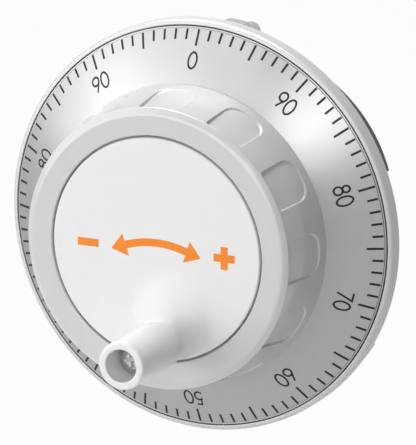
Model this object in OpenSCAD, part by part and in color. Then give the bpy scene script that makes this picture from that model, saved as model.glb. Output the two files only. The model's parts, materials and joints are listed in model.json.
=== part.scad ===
// Pulse generator handwheel for a machine panel, with a graduated dial, a
// fluted knob, a turning crank grip and a slotted-disc encoder behind.
// Frame: origin on the wheel's axis at the panel seat, -Y towards the user,
// +Y into the panel, +Z up. Lengths in millimetres, angles in degrees.

/* [Bezel] */
// Outer diameter of the bezel
bezel_d = 80; // [79:0.5:84]
// Width of the bead that rings the dial
bead_w = 1; // [0.9:0.1:1.2]
// Height of the bead above the panel seat
bead_h = 3.2; // [3:0.1:3.6]
// Radius rolled on the bead's outer edge
bead_round = 0.8; // [0.4:0.1:0.9]
// Thickness of the web behind the dial
web_t = 1.7; // [1.5:0.1:1.8]

/* [Dial] */
// Running gap between the dial's edge and the bead
dial_gap = 0.25; // [0.2:0.05:0.4]
// Height of the dial's outer edge above the panel seat
dial_edge_h = 3.2; // [3.1:0.05:3.4]
// Angle at which the dial falls back towards its edge
dial_slope = 28.5; // [26:0.5:30]
// Thickness of the dial sheet
dial_t = 1; // [0.8:0.1:1.1]

/* [Knob] */
// Diameter of the knob where it meets the dial
knob_base_d = 57.6; // [56:0.2:59]
// Diameter of the knob at its front shoulder
knob_front_d = 54.4; // [53:0.2:56]
// Height of the knob's face above the panel seat
knob_h = 22.2; // [22:0.1:24]
// Radius of the knob's front edge
knob_round = 1.6; // [1:0.1:1.8]
// Wall of the knob moulding
knob_wall = 2.2; // [1.8:0.1:2.4]
// Number of finger flutes round the knob
flute_count = 12; // [8:1:14]
// Width of a finger flute
flute_w = 8.1; // [6:0.1:9]
// Depth of a finger flute
flute_depth = 0.7; // [0.4:0.1:1]

/* [Cap and crank] */
// Diameter of the centre cap
cap_d = 43; // [42:0.2:44]
// Width of the groove round the centre cap
groove_w = 0.4; // [0.3:0.05:0.6]
// Thickness of the centre cap
cap_t = 2; // [1.6:0.1:2.2]
// Distance of the crank grip from the wheel's axis
crank_r = 17.1; // [16:0.1:17.2]
// Place of the crank grip, clockwise from the top
crank_angle = 169; // [0:1:359]
// Diameter of the mound that carries the crank, at its foot
mound_d = 18.2; // [18:0.2:20]
// Height of the mound above the cap
mound_h = 5.2; // [3:0.1:6]
// Length of the crank grip
grip_l = 16; // [14:0.1:24]
// Diameter of the crank grip
grip_d = 9.4; // [9:0.1:11]
// Diameter of the open front of the grip
grip_bore_d = 6.3; // [6:0.1:6.6]
// Depth of the open front of the grip
grip_bore_depth = 6.5; // [5:0.1:8]
// Diameter of the shouldered spindle that the grip turns on
spindle_d = 4; // [3.6:0.1:4.4]

/* [Shaft and bearings] */
// Diameter of the wheel's shaft
shaft_d = 8; // [7.6:0.1:8.2]
// Outer diameter of the ball bearings
bearing_d = 16; // [15.8:0.1:16.6]
// Width of the ball bearings
bearing_w = 5; // [4.6:0.1:5.2]
// Diameter of a bearing ball
bearing_ball_d = 2.38; // [2:0.02:2.4]
// Number of balls in a bearing
bearing_balls = 9; // [7:1:10]
// Distance between the two bearings
bearing_gap = 3.8; // [3:0.1:4.2]

/* [Detent] */
// Clicks in one turn, which is also the slots in the code disc
clicks = 100; // [60:20:120]
// Diameter over the detent wheel's teeth
detent_d = 30; // [28:0.2:31]
// Depth of a detent valley
tooth_depth = 0.14; // [0.1:0.01:0.15]
// Place of the detent plunger, clockwise from the top
detent_angle = 180; // [176:1:184]
// Diameter of the detent plunger
plunger_d = 3; // [2.6:0.1:3.2]

/* [Encoder] */
// Diameter of the slotted code disc
code_d = 30.4; // [29:0.2:30.8]
// Thickness of the code disc
code_t = 0.3; // [0.2:0.05:0.4]
// Length of a slot in the code disc
slot_l = 2; // [1.4:0.1:2.6]
// Gap between the circuit board's edge and the rear housing's wall
board_gap = 1.1; // [0.8:0.1:2]
// Thickness of the circuit board
board_t = 1.6; // [1.2:0.1:1.8]
// Number of wire terminals
terminals = 4; // [2:1:4]
// Pitch of the wire terminals
terminal_pitch = 3.96; // [3.5:0.01:4]

/* [Rear housing] */
// Diameter of the body behind the panel
body_d = 59; // [58:0.2:60.4]
// Depth of the body behind the panel seat
body_l = 20.8; // [20.4:0.1:26]
// Wall of the rear housing
body_wall = 2; // [1.6:0.1:2.2]
// Width of the terminal bay
bay_w = 16.8; // [16.4:0.2:18]

/* [Panel mounting] */
// Pitch circle of the mounting studs
stud_pcd = 71; // [70.6:0.2:72.4]
// Diameter of the mounting studs
stud_d = 4; // [3:0.5:5]
// Reach of the studs behind the panel seat
stud_l = 12; // [8:0.5:16]
// Place of the first stud, clockwise from the top
stud_angle = 6.3; // [0:0.1:30]
// Distance of the nuts from the panel seat
nut_rest = 2.1; // [2.1:0.1:5]

/* [Hidden] */

$fn = 96;
eps = 0.01;
running = 0.05;    // radial clearance of a turning or sliding fit
snug = 0.02;       // clearance of a fit that stays put
loose = 0.2;       // clearance round a piece that only has to pass

body_r = body_d / 2;

// Bezel and dial
bezel_r = bezel_d / 2;
bezel_open_r = bezel_r - bead_w;
dial_r = bezel_open_r - dial_gap;
knob_r = knob_base_d / 2;
dial_flat_r = knob_r - 0.4;
function dial_front(r) = dial_edge_h + (dial_r - r) * tan(dial_slope);
dial_flat_z = dial_front(dial_flat_r);
dial_hole_r = 20;
dial_lip_w = 0.3;

// Stack from the rear housing's floor forward to the bearings
floor_gap = 1.05;
sensor_back = body_wall - body_l + floor_gap;
jaw_back = 3.3;
code_z = sensor_back + jaw_back;
jaw_front = 2.85;
board_back = code_z + jaw_front;
board_z = board_back + board_t;
block_gap = 0.6;
block_back = board_z + block_gap;
block_foot = 2.9;
detent_z = block_back + block_foot;
detent_hub_l = 3.6;
detent_hub_z = detent_z + detent_hub_l - 1.7;
ring_t = 0.8;
rear_bearing_z = detent_hub_z + ring_t + loose;
front_bearing_z = rear_bearing_z + bearing_w + bearing_gap;
bearing_r = bearing_d / 2;
shaft_r = shaft_d / 2;
pitch_r = (bearing_r + shaft_r) / 2;
ball_r = bearing_ball_d / 2;
race_r = ball_r + 0.06;
ring_gap = 1.7;
collar_z = front_bearing_z + bearing_w;
collar_l = 1.4;
seal_t = 0.8;
tower_r = bearing_r + 2.5;
tower_top = collar_z + 1;
carrier_t = 2;
carrier_r = body_d / 2 - body_wall - 1.9;
seat_lip = 0.4;

// Hub and knob
hub_z = collar_z + collar_l;
hub_flange_t = 1.4;
hub_flange_r = 9;
hub_body_r = 6.4;
cap_z = knob_h - cap_t;
floor_t = 2;
floor_z = cap_z - floor_t;
hub_drop = 1.2;
hub_top = floor_z - hub_drop;
cap_r = cap_d / 2;
recess_r = cap_r + groove_w;
knob_front_r = knob_front_d / 2;
shoulder_z = knob_h - knob_round;
boss_r = 2.4;
dial_screw_r = knob_r - knob_wall - boss_r;
dial_screw_count = 4;
flute_top = shoulder_z - 0.2;
flute_foot = dial_flat_z + 2;
flute_round = 3.2;
hub_screw_r = 2;
hub_screw_l = 7;
hub_screw_head_r = 3.5;
hub_screw_head = 2;
tap_room = 0.4;
washer_t = 0.8;

// Crank
seat_z = knob_h + mound_h;
seat_r = 3.9;
grip_washer_t = 0.3;
grip_z = seat_z + grip_washer_t;
grip_r = grip_d / 2;
grip_floor = grip_z + grip_l - grip_bore_depth;
spindle_r = spindle_d / 2;
spindle_head_r = grip_bore_d / 2 - 0.4;
spindle_head_t = 1.8;
thread_r = 1.5;
insert_r = 2.6;
insert_l = 7;
mound_r = mound_d / 2;
mound_angle = crank_angle - 7;
mound_pos = cap_r - 0.35 - mound_r;

pin_r = 1.5;
pin_pos = cap_r - 7;
pin_angles = [60, 180, 300];
mound_steps = 12;
cap_sides = 60;

// Detent
detent_t = 2.2;
detent_hole_r = 1.8;
detent_hole_in = 4.2;
detent_r = detent_d / 2;
valley_r = detent_r - tooth_depth;
nose_r = 0.5;
plunger_r = plunger_d / 2;
plunger_l = 5;
nose_l = nose_r / 2 + (plunger_r - nose_r * cos(30)) * 1.6;
plunger_tip = valley_r + running;
block_in = detent_r + 1.6;
block_out = carrier_r - 0.6;
block_w = 13;
block_screw_r = (block_in + block_out) / 2;
block_screw_x = block_w / 2 - 1.9;
set_screw_l = 2;
spring_from = plunger_tip + plunger_l;
spring_to = block_out - set_screw_l;
spring_wire = 0.2;
spring_turns = 5;
shaft_step = detent_hub_z - detent_hub_l;
stub_r = 3;

// Board and encoder
board_r = body_r - body_wall - board_gap;
code_r = code_d / 2;
slot_r = code_r - 1.5 - slot_l / 2;
sensor_in = code_r - 4.7;
sensor_out = code_r + 2.3;
sensor_w = 10;
jaw_gap = 0.7;
shaft_tail = code_z - 1.9;
standoff_r = board_r - 3.6;
board_screw_r = 1.25;
board_screw_l = 4;
board_screw_head_r = 2.3;
board_screw_head = 1.4;
standoff_angles = [15, 135, 255];
hub_wall_r = 5.5;
chip = [6, 5, 1.5];
chip_pos = 17;
chip_angle = 235;
pin_pitch = 1.35;
capacitor = [1.8, 3.2, 1.2];
capacitor_angles = [190, 205, 310, 322];

// Rear housing
body_in_r = body_r - body_wall;
column_r = 3.2;
column_pos = body_in_r - column_r + 0.2;
column_angles = [35, 155, 275];
column_z = -3;
screw_r = 1.5;
bay_in = code_r + 1.9;
bay_wall = 1.2;
bay_z = board_back - loose;
block_x = bay_in + 0.4;
block_len = 9;
terminal_back = -body_l + 1.4;
terminal_w = terminals * terminal_pitch;
function terminal_y(i) = (i - (terminals - 1) / 2) * terminal_pitch;
cell_x = block_x + block_len / 2;
cell_w = terminal_pitch - 1;
wire_z = terminal_back + 4.9;
stud_r = stud_d / 2;
stud_thread_r = stud_r * 0.885;
stud_press_r = stud_r + 0.4;
stud_plain = nut_rest - 0.1;
stud_boss_r = stud_press_r + 0.5;
stud_boss_h = 0.3;
stud_pos = stud_pcd / 2;
nut_flats = 1.75 * stud_d;
nut_t = 0.8 * stud_d;
stud_count = 3;
gasket_in = body_r + 1.6;
gasket_w = 2;
gasket_t = 0.9;
carrier_screw_r = 14.5;
carrier_screw_angles = [30, 150, 270];
pad_r = 19;
pad_t = web_t + 1.4;

// ---- shared shapes -------------------------------------------------------

// local +Z towards the user, local +Y up
module forward() rotate([90, 0, 0]) children();

// clockwise from the top, as the user sees it
module at(angle, r = 0) rotate(-angle) translate([0, r, 0]) children();

// a tube or a disc between two heights
module ring(inner, outer, z0, z1) translate([0, 0, z0]) difference() {
    cylinder(r = outer, h = z1 - z0);
    if (inner > 0) translate([0, 0, -1]) cylinder(r = inner, h = z1 - z0 + 2);
}

module hole(r, z0, z1, sides = 48) translate([0, 0, z0]) cylinder(r = r, h = z1 - z0, $fn = sides);

// a round bar with its far end chamfered
module rod(r, z0, z1, chamfer = 0.3, sides = 48) rotate_extrude($fn = sides)
    polygon([[0, z0], [r - chamfer, z0], [r, z0 + chamfer], [r, z1], [0, z1]]);

// profile of a shaft bore with its driving flat
module d_section(r) difference() {
    circle(r);
    translate([r * 0.8, -r]) square([r, 2 * r]);
}

// points along an arc in a profile
function arc(centre, r, from, to, n = 8) =
    [for (i = [0:n]) let (a = from + (to - from) * i / n) centre + r * [cos(a), sin(a)]];

// pan-head screw along +Z: shank up to z = 0, head above
module pan_screw(shank_r, length, head_r, head_t, slot = "cross") difference() {
    union() {
        translate([0, 0, -length]) cylinder(r = shank_r, h = length + eps, $fn = 32);
        rotate_extrude($fn = 48) polygon(concat([[0, 0], [head_r, 0]],
            [[head_r, head_t * 0.45]], [[head_r * 0.8, head_t * 0.85]],
            [[head_r * 0.5, head_t], [0, head_t]]));
    }
    recess_w = head_r * 0.28;
    for (a = slot == "cross" ? [0, 90] : [0]) rotate(a)
        translate([-head_r * 0.62, -recess_w / 2, head_t * 0.45])
            cube([head_r * 1.24, recess_w, head_t]);
}

// ---- fixed pieces in front of the panel -----------------------------------

module bezel_profile() polygon(concat(
    [[tower_r + snug, 0], [bezel_r, 0]],
    arc([bezel_r - bead_round, bead_h - bead_round], bead_round, 0, 90),
    [[bezel_open_r + 0.1, bead_h], [bezel_open_r, bead_h - 0.15], [bezel_open_r, web_t],
     [pad_r + 1, web_t], [pad_r, pad_t], [tower_r + snug, pad_t]]));

module bezel() color([0.84, 0.85, 0.86]) forward() difference() {
    union() {
        rotate_extrude($fn = 180) bezel_profile();
        for (a = column_angles) at(a, column_pos) ring(0, column_r - 0.3, column_z, web_t);
        for (i = [0:stud_count - 1]) at(stud_angle + i * 360 / stud_count, stud_pos)
            ring(0, stud_boss_r, 0, web_t + stud_boss_h);
    }
    for (a = column_angles) at(a, column_pos) hole(screw_r + snug, column_z - 1, web_t - 0.6);
    for (i = [0:stud_count - 1]) at(stud_angle + i * 360 / stud_count, stud_pos)
        hole(stud_press_r + snug, -1, web_t);
    for (a = carrier_screw_angles) at(a, carrier_screw_r) hole(screw_r + snug, -1, pad_t - 0.5);
    ring(gasket_in, gasket_in + gasket_w, -1, gasket_t);
}

// press-in stud: serrated shank in the bezel, a plain neck for the panel, then thread
module mounting_studs() color([0.72, 0.72, 0.7]) forward()
    for (i = [0:stud_count - 1]) at(stud_angle + i * 360 / stud_count, stud_pos)
        rotate_extrude($fn = 48) polygon([[0, -stud_l], [stud_thread_r - 0.5, -stud_l],
            [stud_thread_r, 0.5 - stud_l], [stud_thread_r, -stud_plain], [stud_r, -stud_plain],
            [stud_r, 0], [stud_press_r, 0], [stud_press_r, web_t - 0.1], [0, web_t - 0.1]]);

module mounting_nuts() color([0.7, 0.7, 0.68]) forward()
    for (i = [0:stud_count - 1]) at(stud_angle + i * 360 / stud_count, stud_pos)
        difference() {
            translate([0, 0, -nut_rest - nut_t]) intersection() {
                cylinder(r = nut_flats / sqrt(3), h = nut_t, $fn = 6);
                rotate_extrude() polygon([[0, 0], [nut_flats / 2 - 0.1, 0],
                    [nut_flats / 2 + 0.6, 0.4], [nut_flats / 2 + 0.6, nut_t], [0, nut_t]]);
            }
            hole(stud_thread_r + snug, -nut_rest - nut_t - 1, 1);
        }

module panel_gasket() color([0.1, 0.1, 0.11]) forward()
    ring(gasket_in + 0.05, gasket_in + gasket_w - 0.05, 0, gasket_t - 0.05);

// ---- bearing housing and shaft ---------------------------------------------

module bearing_housing() color([0.66, 0.67, 0.69]) forward() difference() {
    union() {
        ring(0, carrier_r, -carrier_t, 0);
        ring(0, tower_r, rear_bearing_z - seat_lip, tower_top);
    }
    hole(bearing_r - 1, rear_bearing_z - 1, tower_top + 1, 96);
    hole(bearing_r + snug, rear_bearing_z - seat_lip - 1, rear_bearing_z + bearing_w, 96);
    hole(bearing_r + snug, front_bearing_z, tower_top + 1, 96);
    for (a = column_angles) at(a, column_pos) hole(column_r + 0.4, -carrier_t - 1, 1);
    for (a = carrier_screw_angles) at(a, carrier_screw_r) hole(screw_r + 0.1, -carrier_t - 1, 1);
    for (a = standoff_angles) at(a, standoff_r) hole(screw_r + snug, -carrier_t - 1, 1);
    at(detent_angle) for (side = [-1, 1]) translate([side * block_screw_x, block_screw_r, 0])
        hole(1.02, -carrier_t - 1, 1);
}

module bearing_housing_screws() color([0.6, 0.6, 0.62]) forward()
    for (a = carrier_screw_angles) at(a, carrier_screw_r)
        translate([0, 0, -carrier_t]) rotate([180, 0, 0])
            pan_screw(screw_r, carrier_t + pad_t - 0.7, 2.7, 1.2);

module shaft_seal() color([0.12, 0.12, 0.13]) forward()
    ring(shaft_r + 1.3, bearing_r - 0.05, collar_z + 0.1, collar_z + 0.1 + seal_t);

module bearing_outer(z) color([0.74, 0.75, 0.77]) forward() translate([0, 0, z + bearing_w / 2])
    rotate_extrude($fn = 96) difference() {
        translate([pitch_r + ring_gap / 2, -bearing_w / 2])
            square([bearing_r - pitch_r - ring_gap / 2, bearing_w]);
        translate([pitch_r, 0]) circle(race_r, $fn = 48);
    }

module bearing_inner(z) color([0.78, 0.79, 0.81]) forward() translate([0, 0, z + bearing_w / 2])
    rotate_extrude($fn = 96) difference() {
        translate([shaft_r + snug, -bearing_w / 2])
            square([pitch_r - ring_gap / 2 - shaft_r - snug, bearing_w]);
        translate([pitch_r, 0]) circle(race_r, $fn = 48);
    }

module bearing_ball_train(z) color([0.86, 0.87, 0.9]) forward() translate([0, 0, z + bearing_w / 2])
    for (i = [0:bearing_balls - 1]) at(i * 360 / bearing_balls, pitch_r) sphere(ball_r, $fn = 32);

module bearing_cage(z) color([0.72, 0.58, 0.3]) forward() translate([0, 0, z + bearing_w / 2])
    difference() {
        ring(pitch_r - 0.45, pitch_r + 0.45, -ball_r - 0.5, ball_r + 0.5);
        for (i = [0:bearing_balls - 1]) at(i * 360 / bearing_balls) rotate([-90, 0, 0])
            cylinder(r = ball_r + running, h = pitch_r + 2, $fn = 48);
    }

module front_bearing_outer() bearing_outer(front_bearing_z);
module front_bearing_inner() bearing_inner(front_bearing_z);
module front_bearing_balls() bearing_ball_train(front_bearing_z);
module front_bearing_cage() bearing_cage(front_bearing_z);
module rear_bearing_outer() bearing_outer(rear_bearing_z);
module rear_bearing_inner() bearing_inner(rear_bearing_z);
module rear_bearing_balls() bearing_ball_train(rear_bearing_z);
module rear_bearing_cage() bearing_cage(rear_bearing_z);

module bearing_spacer() color([0.62, 0.63, 0.65]) forward()
    ring(shaft_r + snug, shaft_r + 1.1, rear_bearing_z + bearing_w, front_bearing_z);

module retaining_ring() color([0.3, 0.3, 0.32]) forward() difference() {
    ring(shaft_r - 0.3 + snug, shaft_r + 1.3, rear_bearing_z - ring_t, rear_bearing_z);
    translate([-0.9, 0, rear_bearing_z - ring_t - 1]) cube([1.8, shaft_r + 2, ring_t + 2]);
}

module shaft() color([0.7, 0.71, 0.73]) forward() difference() {
    union() {
        rod(shaft_r, shaft_step, hub_top - 0.2);
        ring(0, shaft_r + 1.2, collar_z, hub_z);
        rod(stub_r, shaft_tail, shaft_step + eps);
    }
    ring(shaft_r - 0.3, shaft_r + 1, rear_bearing_z - ring_t, rear_bearing_z);
    hole(hub_screw_r + snug, hub_top - hub_screw_l - tap_room, hub_top + 1, 32);
    flat_x = shaft_r * 0.8;
    translate([flat_x, -shaft_r, hub_z]) cube([shaft_r, shaft_d, hub_top]);
    translate([flat_x, -shaft_r, shaft_step - 1]) cube([shaft_r, shaft_d, detent_hub_l + 1]);
}

// ---- wheel -------------------------------------------------------------------

module drive_hub() color([0.78, 0.64, 0.34]) forward() difference() {
    union() {
        ring(0, hub_flange_r, hub_z, hub_z + hub_flange_t);
        translate([0, 0, hub_z]) cylinder(r = hub_body_r, h = hub_top - hub_z, $fn = 8);
    }
    translate([0, 0, hub_z - 1]) linear_extrude(hub_top - hub_z + 2) d_section(shaft_r + snug);
}

module hub_washer() color([0.68, 0.68, 0.7]) forward()
    ring(hub_screw_r + 0.15, hub_body_r - 1.2, hub_top, hub_top + washer_t);

module hub_screw() color([0.64, 0.64, 0.66]) forward()
    translate([0, 0, hub_top + washer_t])
        pan_screw(hub_screw_r, washer_t + hub_screw_l, hub_screw_head_r, hub_screw_head);

module dial_profile() {
    lip_z = dial_edge_h - 0.12;
    back = dial_t / cos(dial_slope);
    polygon([[dial_hole_r, dial_flat_z - dial_t], [dial_hole_r, dial_flat_z],
        [dial_flat_r, dial_flat_z],
        [dial_r - dial_lip_w, dial_front(dial_r - dial_lip_w)],
        [dial_r - dial_lip_w, lip_z - 0.1],
        [dial_r - dial_lip_w + 0.1, lip_z - 0.1], [dial_r - dial_lip_w + 0.1, lip_z],
        [dial_r, lip_z - 0.05], [dial_r, dial_edge_h - back + 0.1],
        [dial_flat_r, dial_flat_z - dial_t]]);
}

module dial() color([0.72, 0.73, 0.75]) forward() difference() {
    rotate_extrude($fn = 180) dial_profile();
    for (i = [0:dial_screw_count - 1]) at(45 + i * 90, dial_screw_r)
        hole(1.5, dial_flat_z - dial_t - 1, dial_flat_z + 1);
}

module dial_screws() color([0.6, 0.6, 0.62]) forward()
    for (i = [0:dial_screw_count - 1]) at(45 + i * 90, dial_screw_r)
        translate([0, 0, dial_flat_z - dial_t]) rotate([180, 0, 0])
            pan_screw(1.3, 6, 2.2, 1.3);

function knob_side(z) = knob_r + (knob_front_r - knob_r) * (z - dial_flat_z) / (shoulder_z - dial_flat_z);

module knob_profile() {
    inside = knob_wall;
    polygon(concat(
        [[knob_r - inside, dial_flat_z], [knob_r, dial_flat_z]],
        arc([knob_front_r - knob_round, shoulder_z], knob_round, 0, 90, 10),
        [[recess_r, knob_h], [recess_r, cap_z], [hub_body_r - 0.6, cap_z],
         [hub_body_r - 0.6, floor_z], [knob_side(floor_z) - inside - 0.8, floor_z],
         [knob_side(floor_z - 0.8) - inside, floor_z - 0.8]]));
}

// one flute: a tall pocket with a round foot and a nearly square head
module flute_outline() {
    half = flute_w / 2;
    head_round = 0.8;
    straight = flute_top - flute_foot - flute_round - head_round;
    translate([-half, flute_foot + flute_round]) square([flute_w, straight]);
    translate([-half + flute_round, flute_foot])
        square([flute_w - 2 * flute_round, flute_round + eps]);
    translate([-half + head_round, flute_top - head_round - eps])
        square([flute_w - 2 * head_round, head_round + eps]);
    for (side = [-1, 1]) {
        translate([side * (half - flute_round), flute_foot + flute_round]) circle(flute_round, $fn = 48);
        translate([side * (half - head_round), flute_top - head_round]) circle(head_round, $fn = 24);
    }
}

// every flute, cut down to a cone that follows the knob's side
module flutes() difference() {
    for (i = [0:flute_count - 1]) rotate(-i * 360 / flute_count)
        translate([0, knob_front_r - 4, 0]) rotate([90, 0, 180]) linear_extrude(8) flute_outline();
    low = dial_flat_z - 1;
    high = shoulder_z + 1;
    rotate_extrude($fn = 180) polygon([[0, low], [knob_side(low) - flute_depth, low],
        [knob_side(high) - flute_depth, high], [0, high]]);
}

module knob() color([0.8, 0.81, 0.82]) forward() difference() {
    union() {
        rotate_extrude($fn = 180) knob_profile();
        difference() {
            ring(0, hub_flange_r, hub_z + hub_flange_t, floor_z + eps);
            translate([0, 0, hub_z]) cylinder(r = hub_body_r + snug, h = hub_top - hub_z, $fn = 8);
            hole(hub_body_r - 0.6, hub_top - 1, cap_z);
        }
        for (i = [0:dial_screw_count - 1]) at(45 + i * 90, dial_screw_r)
            ring(0, boss_r, dial_flat_z, floor_z + eps);
        for (i = [0:7]) rotate(22.5 + i * 45) translate([hub_body_r + 1, -0.7, hub_z + 3])
            cube([knob_side(floor_z) - knob_wall - hub_body_r, 1.4, floor_z - hub_z - 3 + eps]);
        at(crank_angle, crank_r) ring(0, insert_r + 1.6, cap_z - insert_l - 0.6, cap_z);
    }
    flutes();
    for (i = [0:dial_screw_count - 1]) at(45 + i * 90, dial_screw_r)
        hole(1.3 + snug, dial_flat_z - 1, dial_flat_z + 5.5);
    at(crank_angle, crank_r) {
        hole(insert_r + snug, cap_z - insert_l, cap_z + 1);
        hole(thread_r + 0.3, 0, cap_z);
    }
    for (a = pin_angles) at(crank_angle + a, pin_pos) hole(pin_r + snug, floor_z - 1, cap_z + 1);
}

// the mound rises out of the cap from a wide eccentric foot to the crank seat
function lerp(a, b, t) = a + (b - a) * t;
function polar(angle, r) = [r * sin(angle), r * cos(angle)];
// the cap is one skin of nested rings: its edge, then the mound's foot, then the seat
function cap_ring(angle, offset, r) =
    [for (i = [0:cap_sides - 1]) polar(angle, offset) + polar(i * 360 / cap_sides, r)];

function mound_ring(t) = lerp(cap_ring(mound_angle, mound_pos, mound_r),
    cap_ring(crank_angle, crank_r, seat_r), t);

module cap_skin() {
    edge = 0.15;
    steps = [for (k = [0:mound_steps]) 90 * k / mound_steps];
    outlines = concat([cap_ring(0, 0, cap_r), cap_ring(0, 0, cap_r), cap_ring(0, 0, cap_r - edge)],
        [for (s = steps) mound_ring(sin(s))]);
    heights = concat([cap_z, knob_h - edge, knob_h],
        [for (s = steps) knob_h + mound_h * (1 - cos(s))]);
    count = len(heights);
    points = [for (k = [0:count - 1], p = outlines[k]) [p[0], p[1], heights[k]]];
    sides = [for (k = [0:count - 2], i = [0:cap_sides - 1], half = [0, 1])
        let (j = (i + 1) % cap_sides, low = k * cap_sides, high = low + cap_sides)
        half == 0 ? [low + i, high + i, high + j] : [low + i, high + j, low + j]];
    polyhedron(points, concat(sides, [[for (i = [0:cap_sides - 1]) i]],
        [[for (i = [cap_sides - 1:-1:0]) (count - 1) * cap_sides + i]]));
}

module centre_cap() color([0.92, 0.92, 0.92]) forward() difference() {
    cap_skin();
    at(crank_angle, crank_r) hole(thread_r + 0.1, cap_z - 1, seat_z + 1);
}

// locating pins under the cap, which keep it from turning in the knob
module cap_pins() color([0.75, 0.75, 0.75]) forward()
    for (a = pin_angles) at(crank_angle + a, pin_pos) ring(0, pin_r, floor_z, cap_z);

module crank_insert() color([0.8, 0.66, 0.36]) forward() at(crank_angle, crank_r)
    ring(thread_r + snug, insert_r, cap_z - insert_l, cap_z);

// shoulder screw: the plain shank carries the grip, the thread goes into the insert
module crank_spindle() color([0.62, 0.63, 0.65]) forward() at(crank_angle, crank_r) {
    translate([0, 0, grip_floor + running])
        pan_screw(spindle_r, grip_floor + running - seat_z, spindle_head_r, spindle_head_t);
    hole(thread_r, cap_z - insert_l + 0.05, seat_z + 1, 32);
}

module grip_washer() color([0.86, 0.86, 0.84]) forward() at(crank_angle, crank_r)
    ring(spindle_r + running, seat_r - 0.6, seat_z, grip_z - 0.05);

// grip with a rounded shoulder at the foot, a slight waist and a collar in front
module grip_profile() {
    front = grip_z + grip_l;
    bore = grip_bore_d / 2;
    collar_r = grip_r - 0.05;
    waist_r = grip_r - 0.45;
    polygon(concat(
        [[spindle_r + running, grip_z], [grip_r - 0.7, grip_z]],
        arc([grip_r - 0.6, grip_z + 0.6], 0.6, -80, 0, 6),
        [[grip_r, grip_z + 2], [grip_r - 0.1, grip_z + grip_l * 0.45], [waist_r, front - 2.1],
         [waist_r, front - 1.7], [collar_r, front - 1.3], [collar_r, front - 0.5],
         [collar_r - 0.45, front], [bore + 0.25, front], [bore, front - 0.3],
         [bore, grip_floor], [spindle_r + running, grip_floor]]));
}

module crank_grip() color([0.95, 0.95, 0.95]) forward() at(crank_angle, crank_r)
    rotate_extrude($fn = 96) grip_profile();

// ---- detent ---------------------------------------------------------------------

// tooth outline: a flat tip and a V valley for each click
function tooth_points() = [for (i = [0:clicks - 1], k = [0:2])
    let (step = 360 / clicks, a = detent_angle + i * step + [-0.42, 0, 0.42][k] * step,
         r = [detent_r, valley_r, detent_r][k]) polar(a, r)];

module detent_wheel() color([0.66, 0.66, 0.64]) forward() difference() {
    union() {
        translate([0, 0, detent_z - detent_t / 2]) linear_extrude(detent_t) polygon(tooth_points());
        ring(0, 7, shaft_step, detent_hub_z);
    }
    translate([0, 0, shaft_step - 1]) linear_extrude(detent_hub_l + 2) d_section(shaft_r + snug);
    for (i = [0:4]) at(i * 72, detent_r - detent_hole_in)
        hole(detent_hole_r, detent_z - detent_t, detent_z + detent_t);
}

module detent_block() color([0.2, 0.21, 0.22]) forward() at(detent_angle) difference() {
    translate([-block_w / 2, block_in, block_back])
        cube([block_w, block_out - block_in, -carrier_t - block_back]);
    translate([0, block_in - 1, detent_z]) rotate([-90, 0, 0])
        cylinder(r = plunger_r + running, h = block_out - block_in + 2, $fn = 48);
    for (side = [-1, 1]) translate([side * block_screw_x, block_screw_r, 0]) {
        hole(1.1, block_back - 1, 0, 32);
        hole(2, block_back - 1, block_back + 1.8, 32);
    }
}

module detent_block_screws() color([0.6, 0.6, 0.62]) forward() at(detent_angle)
    for (side = [-1, 1]) translate([side * block_screw_x, block_screw_r, block_back + 1.8])
        rotate([180, 0, 0]) pan_screw(1, -block_back - 1.8 - 0.2, 1.9, 1.2);

// the plunger's nose rests in a valley
module detent_plunger() color([0.74, 0.6, 0.32]) forward() at(detent_angle)
    translate([0, plunger_tip, detent_z]) rotate([-90, 0, 0]) rotate_extrude($fn = 48)
        polygon(concat(arc([0, nose_r], nose_r, -90, -30, 5),
            [[plunger_r, nose_l], [plunger_r, plunger_l], [0, plunger_l]]));

// helix with flattened ends, swept as a tube of eight sides
module detent_spring() color([0.78, 0.78, 0.8]) forward() at(detent_angle) {
    steps = spring_turns * 12;
    coil_r = plunger_r - 0.35;
    start = spring_from + spring_wire + 0.05;
    travel = spring_to - spring_wire - 0.05 - start;
    points = [for (k = [0:steps], i = [0:7])
        let (a = k * 30, b = i * 45, r = coil_r + spring_wire * cos(b))
        [r * cos(a), start + travel * k / steps + spring_wire * sin(b), detent_z + r * sin(a)]];
    faces = [for (k = [0:steps - 1], i = [0:7]) let (j = (i + 1) % 8)
        [k * 8 + i, k * 8 + j, (k + 1) * 8 + j, (k + 1) * 8 + i]];
    polyhedron(points, concat(faces, [[for (i = [7:-1:0]) i]], [[for (i = [0:7]) steps * 8 + i]]));
}

module detent_set_screw() color([0.35, 0.35, 0.37]) forward() at(detent_angle)
    translate([0, block_out - set_screw_l, detent_z]) rotate([-90, 0, 0]) difference() {
        cylinder(r = plunger_r + running - snug, h = set_screw_l, $fn = 48);
        translate([0, 0, set_screw_l - 1]) cylinder(r = 0.9, h = 2, $fn = 6);
    }

// ---- encoder ------------------------------------------------------------------------

module board_standoffs() color([0.76, 0.62, 0.34]) forward() for (a = standoff_angles)
    at(a, standoff_r) difference() {
        union() {
            translate([0, 0, board_z]) cylinder(r = 2.9, h = -carrier_t - board_z, $fn = 6);
            hole(screw_r, -carrier_t - eps, -0.2);
        }
        hole(board_screw_r + snug, board_z - 1, board_z + 5, 32);
    }

module circuit_board() color([0.08, 0.36, 0.2]) forward() difference() {
    ring(7.5, board_r, board_back, board_z);
    for (a = column_angles) at(a, column_pos) hole(column_r + 0.4, board_back - 1, board_z + 1);
    for (a = standoff_angles) at(a, standoff_r) hole(1.4, board_back - 1, board_z + 1, 32);
}

module board_screws() color([0.6, 0.6, 0.62]) forward() for (a = standoff_angles)
    at(a, standoff_r) translate([0, 0, board_back]) rotate([180, 0, 0])
        pan_screw(board_screw_r, board_t + board_screw_l, board_screw_head_r, board_screw_head);

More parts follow.
